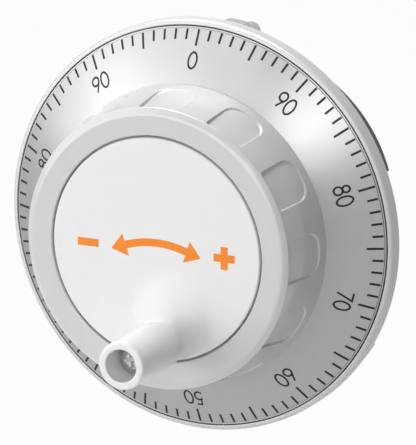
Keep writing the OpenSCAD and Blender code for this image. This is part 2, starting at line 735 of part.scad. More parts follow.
// a U-shaped block that straddles the edge of the code disc
module sensor_block() color([0.13, 0.13, 0.14]) forward() difference() {
    translate([-sensor_w / 2, sensor_in, sensor_back])
        cube([sensor_w, sensor_out - sensor_in, board_back - sensor_back]);
    translate([-sensor_w / 2 - 1, sensor_in - 1, code_z - jaw_gap])
        cube([sensor_w + 2, code_r + 0.8 - sensor_in + 1, 2 * jaw_gap]);
    translate([0, slot_r, 0]) hole(1.52, sensor_back + 0.8, board_back - 0.6, 32);
}

module sensor_lens() color([0.75, 0.2, 0.16]) forward() translate([0, slot_r, 0])
    hole(1.5, code_z + jaw_gap + 0.05, board_back - 0.65, 32);

module sensor_mask() color([0.3, 0.3, 0.33]) forward() translate([0, slot_r, 0]) difference() {
    hole(1.5, code_z - jaw_gap - 0.8, code_z - jaw_gap - 0.05, 32);
    for (x = [-0.6, 0, 0.6]) translate([x - 0.12, -0.9, code_z - jaw_gap - 2]) cube([0.24, 1.8, 3]);
}

module signal_chip() color([0.1, 0.1, 0.11]) forward() at(chip_angle, chip_pos) {
    translate([-chip[0] / 2, -chip[1] / 2, board_back - chip[2]]) cube(chip);
    leg = [chip[0] / 10, chip[1] * 0.22, chip[2] / 3];
    for (side = [-1, 1], i = [-1.5:1.5])
        translate([i * pin_pitch - leg[0] / 2, side * (chip[1] + leg[1]) / 2 - leg[1] / 2,
            board_back - leg[2]]) cube(leg);
}

module board_capacitors() color([0.6, 0.48, 0.3]) forward() for (a = capacitor_angles)
    at(a, chip_pos) translate([-capacitor[0] / 2, -capacitor[1] / 2, board_back - capacitor[2]])
        cube(capacitor);

module code_disc_hub() color([0.7, 0.71, 0.73]) forward() difference() {
    union() {
        ring(0, hub_wall_r, code_z + code_t / 2, board_back + 1.4);
        ring(0, hub_wall_r - 1.5, shaft_tail + 0.4, code_z + code_t);
    }
    hole(stub_r + snug, shaft_tail - 1, board_back + 3);
    translate([0, 0, code_z + 1.9]) rotate([0, 90, 0]) cylinder(r = 0.82, h = hub_wall_r + 1, $fn = 24);
}

module code_disc() color([0.2, 0.21, 0.24]) forward()
    translate([0, 0, code_z - code_t / 2]) linear_extrude(code_t) difference() {
        circle(code_r, $fn = 180);
        circle(hub_wall_r - 1.5 + snug);
        slot_w = PI * slot_r / clicks;
        for (i = [0:clicks - 1]) rotate(i * 360 / clicks)
            translate([-slot_w / 2, slot_r - slot_l / 2]) square([slot_w, slot_l]);
    }

module code_disc_clamp() color([0.62, 0.63, 0.65]) forward()
    ring(hub_wall_r - 1.5 + snug, hub_wall_r, shaft_tail + 0.5, code_z - code_t / 2);

module code_hub_set_screw() color([0.35, 0.35, 0.37]) forward()
    translate([stub_r + 0.05, 0, code_z + 1.9]) rotate([0, 90, 0]) difference() {
        cylinder(r = 0.8, h = hub_wall_r - stub_r - 0.2, $fn = 24);
        translate([0, 0, hub_wall_r - stub_r - 1]) cylinder(r = 0.45, h = 2, $fn = 6);
    }

// ---- terminals and rear housing ----------------------------------------------------------

module terminal_block() color([0.16, 0.17, 0.18]) forward() difference() {
    translate([block_x, -terminal_w / 2, terminal_back])
        cube([block_len, terminal_w, board_back - terminal_back]);
    for (i = [0:terminals - 1]) translate([0, terminal_y(i), 0]) {
        translate([cell_x, 0, 0]) hole(cell_w / 2, terminal_back - 1, wire_z, 32);
        translate([cell_x - cell_w / 2 - 0.6, -cell_w / 2, wire_z - 1.7])
            cube([block_len, cell_w, 3.4]);
    }
}

module terminal_clamps() color([0.78, 0.64, 0.36]) forward() for (i = [0:terminals - 1])
    translate([cell_x, terminal_y(i), wire_z]) difference() {
        translate([-cell_w / 2 - 0.4, -cell_w / 2 + 0.05, -1.6]) cube([cell_w + 0.8, cell_w - 0.1, 3.2]);
        translate([-cell_w, -cell_w / 2 + 0.6, -0.6]) cube([2 * cell_w, cell_w - 1.2, 1.7]);
        translate([0, 0, -3]) cylinder(r = 0.82, h = 3, $fn = 24);
    }

module terminal_screws() color([0.7, 0.7, 0.68]) forward() for (i = [0:terminals - 1])
    translate([cell_x, terminal_y(i), wire_z - 1.75]) rotate([180, 0, 0]) difference() {
        union() {
            cylinder(r = cell_w / 2 - 0.1, h = 1.6, $fn = 32);
            translate([0, 0, -1.2]) cylinder(r = 0.8, h = 1.3, $fn = 24);
        }
        translate([-cell_w, -0.25, 0.9]) cube([2 * cell_w, 0.5, 2]);
    }

module bay(inner, side, z0, z1)
    translate([inner, -side, z0]) cube([body_r + 2 - inner, 2 * side, z1 - z0]);

module rear_housing() color([0.13, 0.13, 0.14]) forward() difference() {
    union() {
        difference() {
            rotate_extrude($fn = 180) polygon([[0, -body_l], [body_r - 0.8, -body_l],
                [body_r, -body_l + 0.8], [body_r, 0], [0, 0]]);
            ring(0, body_in_r, -body_l + body_wall, 1);
        }
        intersection() {
            ring(0, body_in_r + 0.1, -body_l, 0);
            bay(bay_in - bay_wall, bay_w / 2 + bay_wall, -body_l + 0.5, bay_z);
        }
        for (a = column_angles) at(a, column_pos) ring(0, column_r, -body_l + 0.5, column_z);
    }
    bay(bay_in, bay_w / 2, -body_l - 1, bay_z + 1);
    for (a = column_angles) at(a, column_pos) {
        hole(screw_r + 0.1, -body_l - 1, 1);
        hole(2.9, -body_l - 1, -body_l + 2.2);
    }
}

module rear_housing_screws() color([0.55, 0.55, 0.57]) forward() for (a = column_angles)
    at(a, column_pos) translate([0, 0, -body_l + 2.2]) rotate([180, 0, 0])
        pan_screw(screw_r, body_l - 2.2 + web_t - 0.8, 2.7, 1.8);

// ---- drawing ------------------------------------------------------------------------------

bezel();
mounting_studs();
mounting_nuts();
panel_gasket();
bearing_housing();
bearing_housing_screws();
shaft_seal();
front_bearing_outer();
front_bearing_inner();
front_bearing_balls();
front_bearing_cage();
rear_bearing_outer();
rear_bearing_inner();
rear_bearing_balls();
rear_bearing_cage();
bearing_spacer();
retaining_ring();
shaft();
drive_hub();
hub_washer();
hub_screw();
dial();
dial_screws();
knob();
centre_cap();
cap_pins();
crank_insert();
crank_spindle();
grip_washer();
crank_grip();
detent_wheel();
detent_block();
detent_block_screws();
detent_plunger();
detent_spring();
detent_set_screw();
board_standoffs();
circuit_board();
board_screws();
sensor_block();
sensor_lens();
sensor_mask();
signal_chip();
board_capacitors();
code_disc_hub();
code_disc();
code_disc_clamp();
code_hub_set_screw();
terminal_block();
terminal_clamps();
terminal_screws();
rear_housing();
rear_housing_screws();
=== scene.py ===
"""The looks of a panel handwheel pulse generator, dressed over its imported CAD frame."""

import json
import math

import bmesh
import bpy
from mathutils import Matrix, Vector


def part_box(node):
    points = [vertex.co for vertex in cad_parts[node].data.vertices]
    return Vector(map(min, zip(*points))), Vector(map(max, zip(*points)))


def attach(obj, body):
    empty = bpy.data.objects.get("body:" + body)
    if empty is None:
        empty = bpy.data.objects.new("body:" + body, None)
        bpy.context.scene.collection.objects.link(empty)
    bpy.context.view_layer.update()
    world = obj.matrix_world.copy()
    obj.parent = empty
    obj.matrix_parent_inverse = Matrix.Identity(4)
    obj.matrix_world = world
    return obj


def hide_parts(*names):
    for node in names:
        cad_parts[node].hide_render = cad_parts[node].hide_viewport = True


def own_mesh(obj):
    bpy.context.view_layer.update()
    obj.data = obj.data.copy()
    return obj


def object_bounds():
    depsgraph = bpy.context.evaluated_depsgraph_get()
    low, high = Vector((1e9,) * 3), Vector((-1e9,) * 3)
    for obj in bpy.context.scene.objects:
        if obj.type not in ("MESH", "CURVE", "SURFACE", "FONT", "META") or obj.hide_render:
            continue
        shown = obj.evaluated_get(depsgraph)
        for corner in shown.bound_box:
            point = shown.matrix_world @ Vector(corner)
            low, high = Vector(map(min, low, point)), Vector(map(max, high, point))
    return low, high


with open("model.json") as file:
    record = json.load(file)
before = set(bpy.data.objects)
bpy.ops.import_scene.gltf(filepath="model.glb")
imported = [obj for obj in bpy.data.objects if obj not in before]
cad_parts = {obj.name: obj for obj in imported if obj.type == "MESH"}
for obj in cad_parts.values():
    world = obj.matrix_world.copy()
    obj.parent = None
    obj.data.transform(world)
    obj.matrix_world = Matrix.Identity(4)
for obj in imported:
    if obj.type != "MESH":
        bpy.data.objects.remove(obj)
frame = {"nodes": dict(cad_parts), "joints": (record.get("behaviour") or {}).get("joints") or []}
cad_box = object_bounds()

# ---- studio ------------------------------------------------------------------
# A long lens looks at the dial from the right and a little above. The handwheel hangs
# clear of a pale floor, as it would in its panel, under four softboxes: a soft one off
# its left shoulder, a broad one in front, a small one at the right and one overhead.

MM = 0.001
azimuth, elevation, roll = math.radians(26.05), math.radians(14.87), math.radians(-0.2)
looked_at, camera_distance = Vector((1.68, -3.4, 0.93)) * MM, 1.5616
view_back = Vector((math.sin(azimuth) * math.cos(elevation),
                    -math.cos(azimuth) * math.cos(elevation), math.sin(elevation)))
level = Vector((math.cos(azimuth), math.sin(azimuth), 0))
view_right = math.cos(roll) * level + math.sin(roll) * view_back.cross(level)
view_up = view_back.cross(view_right)
camera = bpy.data.objects.new("camera", bpy.data.cameras.new("camera"))
bpy.context.scene.collection.objects.link(camera)
camera.matrix_world = Matrix((view_right, view_up, view_back)).transposed().to_4x4()
camera.location = looked_at + view_back * camera_distance
camera.data.sensor_width = 36
camera.data.lens = 668
camera.data.clip_end = 20
bpy.context.scene.camera = camera
bpy.context.scene.view_settings.view_transform = "Standard"


class Wire:
    """A socket in a node tree; sums and products of wires and numbers add Math nodes."""

    def __init__(self, tree, socket=None):
        self.tree, self.socket = tree, socket

    def node(self, kind, settings=None, inputs=None, output=0):
        """A node of that kind with its settings made and its inputs filled or linked."""
        made = self.tree.nodes.new(kind)
        for name, value in (settings or {}).items():
            setattr(made, name, value)
        for name, value in (inputs or {}).items():
            if isinstance(value, Wire):
                self.tree.links.new(value.socket, made.inputs[name])
            else:
                made.inputs[name].default_value = value
        return Wire(self.tree, made.outputs[output])

    def beside(self, output):
        """Another output of the node that this wire comes from."""
        return Wire(self.tree, self.socket.node.outputs[output])

    def maths(self, operation, other=0.0):
        return self.node("ShaderNodeMath", {"operation": operation}, {0: self, 1: other})

    def __add__(self, other):
        return self.maths("ADD", other)

    def __mul__(self, other):
        return self.maths("MULTIPLY", other)

    __radd__, __rmul__ = __add__, __mul__

    def noise(self, scale, detail=2.0):
        """Cloudy noise from 0 to 1 over this place, with scale cells to the unit."""
        return self.node("ShaderNodeTexNoise", {},
                         {"Vector": self, "Scale": scale, "Detail": detail})

    def tint(self, low, high):
        """A colour between two, by this factor."""
        return self.node("ShaderNodeMix", {"data_type": "RGBA"},
                         {0: self, 6: (*low, 1), 7: (*high, 1)}, output=2)

    def bump(self, depth):
        """The normal of a surface whose height varies by this wire, depth millimetres in all."""
        return self.node("ShaderNodeBump", {},
                         {"Height": self, "Strength": 1.0, "Distance": depth * MM})

    def axes(self):
        """The three numbers of a place."""
        x = self.node("ShaderNodeSeparateXYZ", {}, {0: self})
        return x, x.beside(1), x.beside(2)

    def joined(self, other):
        """A flat place that has this number across and the other up."""
        return self.node("ShaderNodeCombineXYZ", {}, {0: self, 1: other})


def white_to_the_lens(tree, light, glow, share):
    """Mixes the shader light with a plain white glow, for what camera, gloss and glass see."""
    seen = rays = Wire(tree).node("ShaderNodeLightPath", output="Is Camera Ray")
    for also in ("Is Glossy Ray", "Is Transmission Ray"):
        seen = seen.maths("MAXIMUM", rays.beside(also))
    white = rays.node(glow, {}, {"Color": (1, 1, 1, 1)})
    mixed = rays.node("ShaderNodeMixShader", {},
                      {0: seen * share, 1: Wire(tree, light.outputs[0]), 2: white})
    out = next(n for n in tree.nodes if n.type in ("OUTPUT_WORLD", "OUTPUT_MATERIAL"))
    tree.links.new(mixed.socket, out.inputs["Surface"])


world = bpy.data.worlds.new("studio_air")
world.use_nodes = True
bpy.context.scene.world = world
air = world.node_tree.nodes["Background"]
air.inputs["Color"].default_value = (0.97, 0.985, 1, 1)
air.inputs["Strength"].default_value = 0.08
white_to_the_lens(world.node_tree, air, "ShaderNodeBackground", share=1)

floor_drop, floor_half = 0.09, 6
floor_z = cad_box[0].z - floor_drop
floor_mesh = bpy.data.meshes.new("floor")
floor_mesh.from_pydata([(x * floor_half, y * floor_half, floor_z)
                        for x, y in ((-1, -1), (1, -1), (1, 1), (-1, 1))], [], [(0, 1, 2, 3)])
floor = bpy.data.objects.new("floor", floor_mesh)
bpy.context.scene.collection.objects.link(floor)
paper = bpy.data.materials.new("floor_paper")
paper.use_nodes = True
paper_face = paper.node_tree.nodes["Principled BSDF"]
paper_face.inputs["Base Color"].default_value = (0.9, 0.9, 0.9, 1)
paper_face.inputs["Roughness"].default_value = 0.9
white_to_the_lens(paper.node_tree, paper_face, "ShaderNodeEmission", share=0.97)
floor_mesh.materials.append(paper)


def softbox(name, towards, distance, size, share):
    """A square area lamp; share is how bright it makes a white card that faces it."""
    lamp = bpy.data.lights.new(name, "AREA")
    lamp.size = size
    lamp.energy = share * math.pi ** 2 * distance ** 2
    holder = bpy.data.objects.new(name, lamp)
    bpy.context.scene.collection.objects.link(holder)
    holder.location = Vector(towards).normalized() * distance
    holder.rotation_euler = Vector(towards).to_track_quat("Z", "Y").to_euler()


softbox("left_softbox", (-0.77, -0.5, 0.4), distance=0.9, size=0.75, share=0.2)
softbox("right_softbox", (0.22, -0.9, 0.34), distance=0.9, size=0.34, share=0.2)
softbox("fill_softbox", (-0.5, -0.84, -0.12), distance=0.9, size=0.85, share=0.79)
softbox("top_softbox", (-0.18, 0.1, 1), distance=0.4, size=0.28, share=1.0)

# ---- bezel -------------------------------------------------------------------
# The turned aluminium ring that seats on the panel and frames the dial with a bead.
# Its surfaces are clear anodised over fine tool marks, and its edges are broken.


class Finish:
    """A material under construction: its shader and the place of each point in millimetres."""

    def __init__(self, name, colour, roughness, **constants):
        self.material = bpy.data.materials.new(name)
        self.material.use_nodes = True
        self.tree = self.material.node_tree
        self.shader = self.tree.nodes["Principled BSDF"]
        settings = {"Base Color": (*colour, 1), "Roughness": roughness}
        settings.update({key.replace("_", " "): value for key, value in constants.items()})
        for socket, value in settings.items():
            self.shader.inputs[socket].default_value = value
        metres = Wire(self.tree).node("ShaderNodeTexCoord", output="Object")
        self.place = metres.node("ShaderNodeVectorMath", {"operation": "SCALE"},
                                 {0: metres, "Scale": 1 / MM})

    def feed(self, socket, wire):
        self.tree.links.new(wire.socket, self.shader.inputs[socket])


def turning(finish):
    """Distance from the turning axis and distance along it, for lathe marks."""
    x, y, along = finish.place.axes()
    return (x * x + y * y).maths("SQRT"), along


def anodised(name, colour, roughness, metallic):
    """Turned, clear anodised aluminium: faint rings from the tool under a soft satin."""
    made = Finish(name, colour, roughness, Metallic=metallic)
    radius, along = turning(made)
    rings = radius.joined(along).noise(4.0)
    clouds = made.place.noise(0.12)
    made.feed("Roughness", roughness - 0.03 + 0.06 * rings)
    made.feed("Base Color", clouds.tint([c * 0.95 for c in colour],
                                        [min(1, c * 1.04) for c in colour]))
    made.feed("Normal", rings.bump(0.0008))
    return made.material


def rounded(outline, steps=5):
    """The outline's points, with each corner given as (r, z, fillet) rolled to an arc."""
    points = []
    for i, corner in enumerate(outline):
        here = Vector(corner[:2])
        if len(corner) < 3:
            points.append(here)
            continue
        before = (Vector(outline[i - 1][:2]) - here).normalized()
        after = (Vector(outline[(i + 1) % len(outline)][:2]) - here).normalized()
        half_angle = before.angle(after) / 2
        centre = here + (before + after).normalized() * corner[2] / math.sin(half_angle)
        start = here + before * corner[2] / math.tan(half_angle) - centre
        end = here + after * corner[2] / math.tan(half_angle) - centre
        points += [centre + start.slerp(end, k / steps).normalized() * corner[2]
                   for k in range(steps + 1)]
    return points


def skin(rings, first=0):
    """Faces between rings of equally many points, whose numbers start at first."""
    count = len(rings[0])
    return [(first + k * count + i, first + k * count + (i + 1) % count,
             first + (k + 1) * count + (i + 1) % count, first + (k + 1) * count + i)
            for k in range(len(rings) - 1) for i in range(count)]


def ends(rings):
    """The two faces that close the first and the last of such rings."""
    count = len(rings[0])
    return [tuple(range(count)), tuple(range((len(rings) - 1) * count, len(rings) * count))]


def solid(name, rings, faces, material, sharp=35):
    """A piece from rings of points in the wheel's frame, in millimetres: +Z to the user, +Y up."""
    mesh = bpy.data.meshes.new(name)
    mesh.from_pydata([Vector(point) * MM for ring in rings for point in ring], [], faces)
    shape = bmesh.new()
    shape.from_mesh(mesh)
    bmesh.ops.remove_doubles(shape, verts=shape.verts, dist=1e-7)
    bmesh.ops.recalc_face_normals(shape, faces=shape.faces)
    shape.to_mesh(mesh)
    shape.free()
    mesh.shade_smooth()
    mesh.set_sharp_from_angle(angle=math.radians(sharp))
    mesh.materials.append(material)
    made = bpy.data.objects.new(name, mesh)
    bpy.context.scene.collection.objects.link(made)
    made.matrix_world = Matrix.Rotation(math.radians(90), 4, "X")
    made.modifiers.new("even_flats", "WEIGHTED_NORMAL").keep_sharp = True
    return made


def turned(name, outline, material, centre=(0, 0), sides=288, sweep=(0, 360)):
    """A turned solid from a closed outline of (radius, height) corners, whole or in part."""
    profile, rings = rounded(outline), []
    for i in range(sides + 1):
        turn = math.radians(sweep[0] + (sweep[1] - sweep[0]) * i / sides)
        rings.append([(centre[0] + p.x * math.sin(turn), centre[1] + p.x * math.cos(turn), p.y)
                      for p in profile])
    whole = sweep[1] - sweep[0] == 360
    return solid(name, rings, skin(rings) + ([] if whole else ends(rings)), material)


def half_width(node):
    """The radius, in millimetres, of a node that is round on the wheel's axis."""
    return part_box(node)[1].x / MM


def front(node):
    """The height of a node's front above the panel seat, in millimetres."""
    return -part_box(node)[0].y / MM


bezel_r, housing_r = half_width("bezel"), half_width("rear_housing")
bezel_bore = housing_r - 3
bead_w, bead_h, web_h = 1.0, 3.2, 1.7
bead_roll, bead_break, seat_break = 0.8, 0.12, 0.15
gasket_w, gasket_room = 2.0, 0.05
groove_in, groove_depth = half_width("panel_gasket") - gasket_w, front("panel_gasket") + gasket_room
groove_out = groove_in + gasket_w + gasket_room
bezel = turned("bezel_ring", [
    (bezel_bore, 0), (groove_in, 0), (groove_in, groove_depth), (groove_out, groove_depth),
    (groove_out, 0), (bezel_r, 0, seat_break), (bezel_r, bead_h, bead_roll),
    (bezel_r - bead_w, bead_h, bead_break), (bezel_r - bead_w, web_h), (bezel_bore, web_h)],
    anodised("bezel_anodised", (0.6, 0.605, 0.61), roughness=0.45, metallic=0.3))
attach(bezel, "housing")
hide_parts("bezel")

# ---- panel fixings -----------------------------------------------------------
# Three plated steel studs are pressed into the bezel's back, with a loose nut on each.
# A moulded rubber gasket lies in the bezel's groove and is pinched on the panel.


def stock(name, colour, roughness, metallic, spread=0.06, grain=4.0, depth=0.002):
    """A workshop finish: clouded colour, uneven gloss and a fine grain."""
    made = Finish(name, colour, roughness, Metallic=metallic)
    low = [c * (1 - spread) for c in colour]
    high = [min(1, c * (1 + spread)) for c in colour]
    made.feed("Base Color", made.place.noise(0.5, detail=3.0).tint(low, high))
    made.feed("Roughness", roughness - 0.05 + 0.1 * made.place.noise(grain, detail=3.0))
    made.feed("Normal", made.place.noise(grain * 3, detail=3.0).bump(depth))
    return made.material


def dress(material, *names):
    """Gives pieces that keep their CAD shape a material of their own."""
    for name in names:
        slots = frame["nodes"][name].data.materials
        slots.clear()
        slots.append(material)


zinc_plate = stock("zinc_plate", (0.42, 0.42, 0.415), 0.34, metallic=1.0, spread=0.12)
black_rubber = stock("black_rubber", (0.03, 0.03, 0.031), 0.75, metallic=0.0, spread=0.2,
                     grain=3.0, depth=0.008)
dress(zinc_plate, "mounting_studs", "mounting_nuts")
dress(black_rubber, "panel_gasket")

# ---- shaft and bearings ------------------------------------------------------
# A die-cast carrier, screwed behind the bezel, holds two ball bearings and a lip seal.
# The ground shaft runs in them, kept by a spring steel ring, and a brass hub on its
# flats is clamped by a screw and drives the knob.

die_cast = stock("die_cast", (0.6, 0.61, 0.62), 0.5, metallic=1.0, spread=0.1, grain=3.0, depth=0.01)
bearing_steel = stock("bearing_steel", (0.72, 0.73, 0.75), 0.16, metallic=1.0, spread=0.03)
turned_brass = stock("turned_brass", (0.74, 0.58, 0.3), 0.3, metallic=1.0, spread=0.08)
ground_steel = stock("ground_steel", (0.6, 0.61, 0.62), 0.28, metallic=1.0)
spring_steel = stock("spring_steel", (0.55, 0.56, 0.58), 0.3, metallic=1.0)
dress(die_cast, "bearing_housing")
dress(zinc_plate, "bearing_housing_screws", "hub_washer", "hub_screw")
dress(black_rubber, "shaft_seal")
for bearing in ("front_bearing", "rear_bearing"):
    dress(bearing_steel, bearing + "_outer", bearing + "_inner", bearing + "_balls")
    dress(turned_brass, bearing + "_cage")
dress(ground_steel, "shaft", "bearing_spacer")
dress(spring_steel, "retaining_ring")
dress(turned_brass, "drive_hub")

# ---- dial --------------------------------------------------------------------
# A spun aluminium cone, faced with fine circular brushing and printed in black with
# a hundred divisions and a number at every tenth. Its edge is turned to a bright lip,
# and four screws from behind hold it to the knob.

dial_r, dial_flat_r, dial_bore_r = half_width("dial"), 28.4, 20
dial_slope, dial_edge, dial_sheet = math.radians(28.5), 3.2, 1
lip_w, lip_fall, lip_roll, lip_rear = 0.3, 0.02, 0.05, 0.1
nick_w, nick_depth, nick_roll = 0.06, 0.12, 0.03


def dial_height(radius):
    """Height of the dial's printed face at a radius."""
    return dial_edge + (dial_r - radius) * math.tan(dial_slope)


def spun_metal():
    """Circular brushed aluminium, whose light fans out along the radius."""
    made = Finish("dial_spun_metal", (0.375, 0.383, 0.39), 0.36, Metallic=1.0, Anisotropic=0.85,
                  Anisotropic_Rotation=0.25)
    radius, along = turning(made)
    x, y, _ = made.place.axes()
    rings = radius.joined(along).noise(14.0, detail=4.0)
    fans = x.maths("ARCTAN2", y).joined(radius * 0.01).noise(5.0, detail=3.0)
    made.feed("Base Color", fans.tint((0.355, 0.363, 0.37), (0.39, 0.398, 0.405)))
    made.feed("Roughness", 0.32 + 0.09 * rings)
    made.feed("Normal", rings.bump(0.0025))
    return made.material


face_r, dial_rear = dial_r - lip_w, dial_edge - dial_sheet / math.cos(dial_slope)
dial = turned("dial_face", [
    (dial_bore_r, dial_height(dial_flat_r) - dial_sheet), (dial_bore_r, dial_height(dial_flat_r)),
    (dial_flat_r, dial_height(dial_flat_r)), (face_r, dial_height(face_r)),
    (face_r, dial_edge - nick_depth), (face_r + nick_w, dial_edge - nick_depth),
    (face_r + nick_w, dial_edge + lip_fall, nick_roll), (dial_r, dial_edge - lip_fall, lip_roll),
    (dial_r, dial_rear + lip_rear), (dial_flat_r, dial_height(dial_flat_r) - dial_sheet)],
    spun_metal())
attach(dial, "wheel")
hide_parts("dial")


def ink(name, colour, gloss):
    """Screen printed ink, a little uneven where the mesh of the screen lifted."""
    made = Finish(name, colour, gloss, Specular_IOR_Level=0.25)
    made.feed("Base Color", made.place.noise(2.5).tint(colour, [c * 1.15 + 0.004 for c in colour]))
    made.feed("Roughness", gloss - 0.05 + 0.1 * made.place.noise(6.0))
    return made.material


def arc(x, y, wide, high, start, end, steps=20):
    """Points on a stretch of an ellipse, by angle in degrees."""
    turns = [math.radians(start + (end - start) * k / steps) for k in range(steps + 1)]
    return [(x + wide * math.cos(t), y + high * math.sin(t)) for t in turns]


def stroke(line, width):
    """The two edges of a pen stroke along a line of points."""
    left, right = [], []
    loop = (Vector(line[0]) - Vector(line[-1])).length < 1e-6
    for i, point in enumerate(line):
        last = line[i - 1] if i else (line[-2] if loop else None)
        following = line[i + 1] if i + 1 < len(line) else (line[1] if loop else None)
        ways = [(Vector(b) - Vector(a)).normalized()
                for a, b in ((last, point), (point, following)) if a and b]
        way = sum(ways, Vector((0, 0))).normalized()
        reach = width / 2 / max(0.5, way.dot(ways[0]))
        side = Vector((-way.y, way.x)) * reach
        left.append(Vector(point) + side)
        right.append(Vector(point) - side)
    return left, right


def printed(name, strokes, material, thick=0.03):
    """Thin raised print from strokes whose edges already lie on the surface."""
    points, faces = [], []
    up = Vector((0, 0, thick / 2))
    for left, right in strokes:
        first = len(points)
        for a, b in zip(left, right):
            points += [a + up, b + up, b - up, a - up]
        for k in range(len(left) - 1):
            low = first + 4 * k
            faces += [(low + s, low + (s + 1) % 4, low + 4 + (s + 1) % 4, low + 4 + s)
                      for s in range(4)]
        if (left[0] - left[-1]).length > 1e-6:
            faces += [tuple(first + s for s in range(4)),
                      tuple(len(points) - 4 + s for s in range(4))]
    return solid(name, [points], faces, material)


def on_dial(angle, edge):
    """Lays points (across, radius) on the cone, with across along the ring at that angle."""
    laid = []
    for point in edge:
        turn = math.radians(angle) + point.x / point.y
        laid.append(Vector((point.y * math.sin(turn), point.y * math.cos(turn),
                            dial_height(point.y))))
    return laid


divisions, mark_w = 100, 0.44
mark_out, mark_short, mark_long = 38.35, 36.5, 35.5
black_ink = ink("dial_black_ink", (0.01, 0.01, 0.012), 0.5)
marks = []
for division in range(divisions):
    mark_in = mark_long if division % 5 == 0 else mark_short
    marks.append([on_dial(division * 360 / divisions, edge)
                  for edge in stroke([(0, mark_in), (0, mark_out)], mark_w)])
dial_marks = printed("dial_marks", marks, black_ink)
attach(dial_marks, "wheel")

digit_h, digit_w, digit_gap, digit_pen, digit_foot = 3.14, 0.6, 0.08, 0.36, 31.4
nine = arc(0.3, 0.7, 0.245, 0.245, 333, 693, 28)
slant = (0.246, 0.055)
DIGITS = {
    "0": [arc(0.3, 0.5, 0.27, 0.445, 0, 360, 32)],
    "9": [nine, [nine[0], slant]],
    "6": [[(digit_w - x, 1 - y) for x, y in nine],
          [(digit_w - nine[0][0], 1 - nine[0][1]), (digit_w - slant[0], 1 - slant[1])]],
    "8": [arc(0.3, 0.735, 0.2, 0.2, 0, 360, 24), arc(0.3, 0.295, 0.245, 0.24, 0, 360, 28)],
    "7": [[(0.05, 0.945), (0.55, 0.945), (0.2, 0.055)]],
    "5": [[(0.5, 0.945), (0.18, 0.945), (0.12, 0.53)]
          + arc(0.27, 0.33, 0.26, 0.275, 128, -142, 20)],
}
figures = ("0", "90", "80", "70", "60", "50", "60", "70", "80", "90")
numbers = []
for tenth, figure in enumerate(figures):
    span = len(figure) * digit_w + (len(figure) - 1) * digit_gap
    for i, digit in enumerate(figure):
        start = i * (digit_w + digit_gap) - span / 2
        for line in DIGITS[digit]:
            points = [((start + x) * digit_h, digit_foot + y * digit_h) for x, y in line]
            numbers.append([on_dial(tenth * 360 / len(figures), edge)
                            for edge in stroke(points, digit_pen)])
dial_numbers = printed("dial_numbers", numbers, black_ink)
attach(dial_numbers, "wheel")
dress(zinc_plate, "dial_screws")

# ---- knob --------------------------------------------------------------------
# A silver-grey moulding with a slight draft and a bevelled front edge: a crease, a thin
# ridge and a tight outer corner. Its twelve shallow finger flutes run out in round feet
# near the dial.

knob_base_r, knob_front_r = half_width("knob"), 27.25
knob_top, knob_foot, foot_gap = front("knob"), dial_height(dial_flat_r), 0.001
cap_groove_w, recess_depth, recess_roll, web_r = 0.4, 2, 0.3, 12
recess_r = half_width("centre_cap") + cap_groove_w
# The front edge falls from the crease to the ridge, and steeper from there to its corner.
crease_r, crease_w, ridge_r = 25.65, 0.02, 26.3
crease_tilt, ridge_tilt, edge_tilt, side_tilt = 9, 33, 36, 82
corner_roll, corner_in, ridge_roll = 0.4, 0.2, 0.9
corner_tilts = (side_tilt, 75, 68, 60, 52, 44, edge_tilt)
ridge_h = knob_top - (ridge_r - crease_r) * math.tan(math.radians(crease_tilt))
corner_r = knob_front_r - corner_roll * math.sin(math.radians(side_tilt))
corner_z = (ridge_h - (knob_front_r - corner_in - ridge_r) * math.tan(math.radians(ridge_tilt))
            - corner_roll * math.cos(math.radians(edge_tilt)))
shoulder = corner_z + corner_roll * math.cos(math.radians(side_tilt))
flute_count, flute_w, flute_depth, foot_depth = 12, 8.1, 0.7, 0.26
foot_margin, head_margin = 2.0, 0.05
flute_low, flute_high = knob_foot + foot_margin, shoulder - head_margin
flute_foot_r, flute_head_r, flute_edge = 3.2, 0.8, 0.1


def silver_plastic():
    """Metallic-filled plastic with a fine satin skin."""
    made = Finish("knob_silver_plastic", (0.63, 0.635, 0.645), 0.3, Coat_Weight=0.8,
                  Coat_Roughness=0.1)
    made.feed("Base Color", made.place.noise(0.2).tint((0.615, 0.62, 0.63), (0.645, 0.65, 0.66)))
    made.feed("Roughness", 0.26 + 0.08 * made.place.noise(3.0, detail=4.0))
    made.feed("Normal", made.place.noise(3.0, detail=3.0).bump(0.0008))
    return made.material


def knob_side(height):
    """Radius of the knob's drafted side."""
    return knob_base_r + (knob_front_r - knob_base_r) * (height - knob_foot) / (shoulder - knob_foot)


def flute_cut(across, height):
    """Depth of a flute at a distance from its middle line: a box with rounded corners."""
    middle = (flute_low + flute_high) / 2
    corner = flute_foot_r if height < middle else flute_head_r
    over = abs(across) - flute_w / 2 + corner
    up = abs(height - middle) - (flute_high - flute_low) / 2 + corner
    outside = min(max(over, up), 0) + math.hypot(max(over, 0), max(up, 0)) - corner
    step = min(max(0.5 - outside / flute_edge / 2, 0), 1)
    depth = foot_depth + (flute_depth - foot_depth) * (height - flute_low) / (flute_high - flute_low)
    return depth * step * step * (3 - 2 * step)


def spaced(start, step, count):
    """Equally spaced places along the knob's side."""
    return [start + step * k for k in range(count)]


